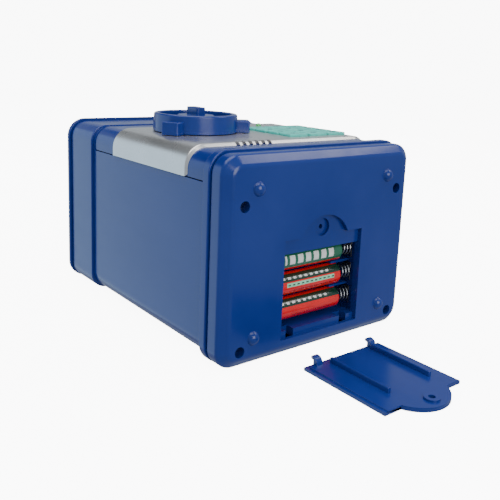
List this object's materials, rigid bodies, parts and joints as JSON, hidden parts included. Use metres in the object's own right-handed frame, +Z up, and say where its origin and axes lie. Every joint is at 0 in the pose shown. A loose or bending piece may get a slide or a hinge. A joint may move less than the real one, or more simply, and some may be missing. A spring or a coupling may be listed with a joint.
{
  "type": "toy cash machine savings bank",
  "caption": "Toy cash-machine savings bank on its back: hinged front door with dial knob and keypad, motor note feed, and a battery bay with its cover off.",
  "frame": {"origin": "on the surface that the bank lies on, under the middle of the whole layout: midway across the bank, and midway between its lid and the far end of the battery cover that lies in front of it", "axes": "+X across the bank to the hinge side, +Y from its bottom face towards its lid, +Z up from its back through its front panel"},
  "size_m": [0.1186, 0.227, 0.1076],
  "materials": {
    "blue_case": "glossy moulded",
    "silver_panel": "satin metallic",
    "black_plastic": "matt",
    "steel": "plated",
    "turquoise_key": "satin",
    "silicone": "matt",
    "roller_rubber": "matt",
    "gear_plastic": "satin",
    "brass": "satin",
    "green_board": "lacquered",
    "cell_wrap_green": "printed film",
    "cell_wrap_red": "printed film",
    "led_red": "clear tinted",
    "led_green": "clear tinted",
    "solenoid": "zinc plated"
  },
  "bodies": {
    "case": {"main_case": "blue_case", "base_cover": "blue_case", "base_screws": "steel", "head_case": "blue_case", "top_cover": "blue_case", "inner_bulkhead": "black_plastic", "hinge_pins": "steel", "lock_keeper": "black_plastic", "battery_1": "cell_wrap_green", "battery_2": "cell_wrap_red", "battery_3": "cell_wrap_red", "battery_springs": "steel", "battery_contacts": "steel", "main_board": "green_board", "board_parts": "black_plastic", "roller_frame": "black_plastic", "feed_motor": "steel", "coin_chute": "black_plastic"},
    "drive_roller": {"drive_shaft": "steel", "drive_tyres": "roller_rubber", "roller_gear": "gear_plastic"},
    "pinch_roller": {"pinch_shaft": "steel", "pinch_tyres": "roller_rubber"},
    "feed_pinion": {"motor_shaft": "steel", "motor_pinion": "brass"},
    "door": {"door_shell": "blue_case", "door_panel": "silver_panel", "keypad_board": "green_board", "key_membrane": "silicone", "speaker": "black_plastic", "led_red": "led_red", "led_green": "led_green", "lock_frame": "black_plastic", "lock_solenoid": "solenoid"},
    "plunger": {"solenoid_plunger": "steel"},
    "knob": {"knob": "blue_case", "knob_cap": "blue_case", "knob_shaft": "steel", "lock_pinion": "gear_plastic", "knob_screw": "steel"},
    "bolt": {"lock_bolt": "steel"},
    "battery_cover": {"battery_cover": "blue_case"},
    "key_1": {"key_1": "turquoise_key"},
    "key_2": {"key_2": "turquoise_key"},
    "key_3": {"key_3": "turquoise_key"},
    "key_4": {"key_4": "turquoise_key"},
    "key_5": {"key_5": "turquoise_key"},
    "key_6": {"key_6": "turquoise_key"},
    "key_7": {"key_7": "turquoise_key"},
    "key_8": {"key_8": "turquoise_key"},
    "key_9": {"key_9": "turquoise_key"},
    "key_10": {"key_10": "turquoise_key"},
    "key_11": {"key_11": "turquoise_key"},
    "key_12": {"key_12": "turquoise_key"}
  },
  "joints": [
    {"name": "door_hinge", "type": "hinge", "parent": "case", "child": "door", "pos_m": [0.0525, 0.02755, 0.085], "axis": [0, 1, 0], "range_deg": [0, 90]},
    {"name": "knob_turn", "type": "hinge", "parent": "door", "child": "knob", "pos_m": [-0.023, 0.03356, 0.095], "axis": [0, 0, 1], "range_deg": [0, 90]},
    {"name": "bolt_slide", "type": "slide", "parent": "door", "child": "bolt", "axis": [-1, 0, 0], "range_m": [0, 0.00785]},
    {"name": "plunger_slide", "type": "slide", "parent": "door", "child": "plunger", "axis": [0, -1, 0], "range_m": [0, 0.0025], "stiffness_N_per_m": 60},
    {"name": "key_1_press", "type": "slide", "parent": "door", "child": "key_1", "axis": [0, 0, -1], "range_m": [0, 0.0012], "stiffness_N_per_m": 400},
    {"name": "key_2_press", "type": "slide", "parent": "door", "child": "key_2", "axis": [0, 0, -1], "range_m": [0, 0.0012], "stiffness_N_per_m": 400},
    {"name": "key_3_press", "type": "slide", "parent": "door", "child": "key_3", "axis": [0, 0, -1], "range_m": [0, 0.0012], "stiffness_N_per_m": 400},
    {"name": "key_4_press", "type": "slide", "parent": "door", "child": "key_4", "axis": [0, 0, -1], "range_m": [0, 0.0012], "stiffness_N_per_m": 400},
    {"name": "key_5_press", "type": "slide", "parent": "door", "child": "key_5", "axis": [0, 0, -1], "range_m": [0, 0.0012], "stiffness_N_per_m": 400},
    {"name": "key_6_press", "type": "slide", "parent": "door", "child": "key_6", "axis": [0, 0, -1], "range_m": [0, 0.0012], "stiffness_N_per_m": 400},
    {"name": "key_7_press", "type": "slide", "parent": "door", "child": "key_7", "axis": [0, 0, -1], "range_m": [0, 0.0012], "stiffness_N_per_m": 400},
    {"name": "key_8_press", "type": "slide", "parent": "door", "child": "key_8", "axis": [0, 0, -1], "range_m": [0, 0.0012], "stiffness_N_per_m": 400},
    {"name": "key_9_press", "type": "slide", "parent": "door", "child": "key_9", "axis": [0, 0, -1], "range_m": [0, 0.0012], "stiffness_N_per_m": 400},
    {"name": "key_10_press", "type": "slide", "parent": "door", "child": "key_10", "axis": [0, 0, -1], "range_m": [0, 0.0012], "stiffness_N_per_m": 400},
    {"name": "key_11_press", "type": "slide", "parent": "door", "child": "key_11", "axis": [0, 0, -1], "range_m": [0, 0.0012], "stiffness_N_per_m": 400},
    {"name": "key_12_press", "type": "slide", "parent": "door", "child": "key_12", "axis": [0, 0, -1], "range_m": [0, 0.0012], "stiffness_N_per_m": 400},
    {"name": "drive_turn", "type": "hinge", "parent": "case", "child": "drive_roller", "pos_m": [0, 0.09755, 0.06383], "axis": [1, 0, 0], "continuous": true},
    {"name": "pinch_turn", "type": "hinge", "parent": "case", "child": "pinch_roller", "pos_m": [0, 0.09755, 0.07623], "axis": [1, 0, 0], "continuous": true},
    {"name": "pinion_turn", "type": "hinge", "parent": "case", "child": "feed_pinion", "pos_m": [0, 0.09755, 0.05238], "axis": [1, 0, 0], "continuous": true},
    {"name": "battery_cover_swing", "type": "hinge", "parent": "case", "child": "battery_cover", "pos_m": [0, -0.04625, -0.0038], "axis": [1, 0, 0], "range_deg": [-90, 0]}
  ],
  "couplings": [
    {"joint": "bolt_slide", "follows": "knob_turn", "m_per_rad": 0.005},
    {"joint": "pinch_turn", "follows": "drive_turn", "ratio": -1},
    {"joint": "pinion_turn", "follows": "drive_turn", "ratio": -2.8}
  ]
}
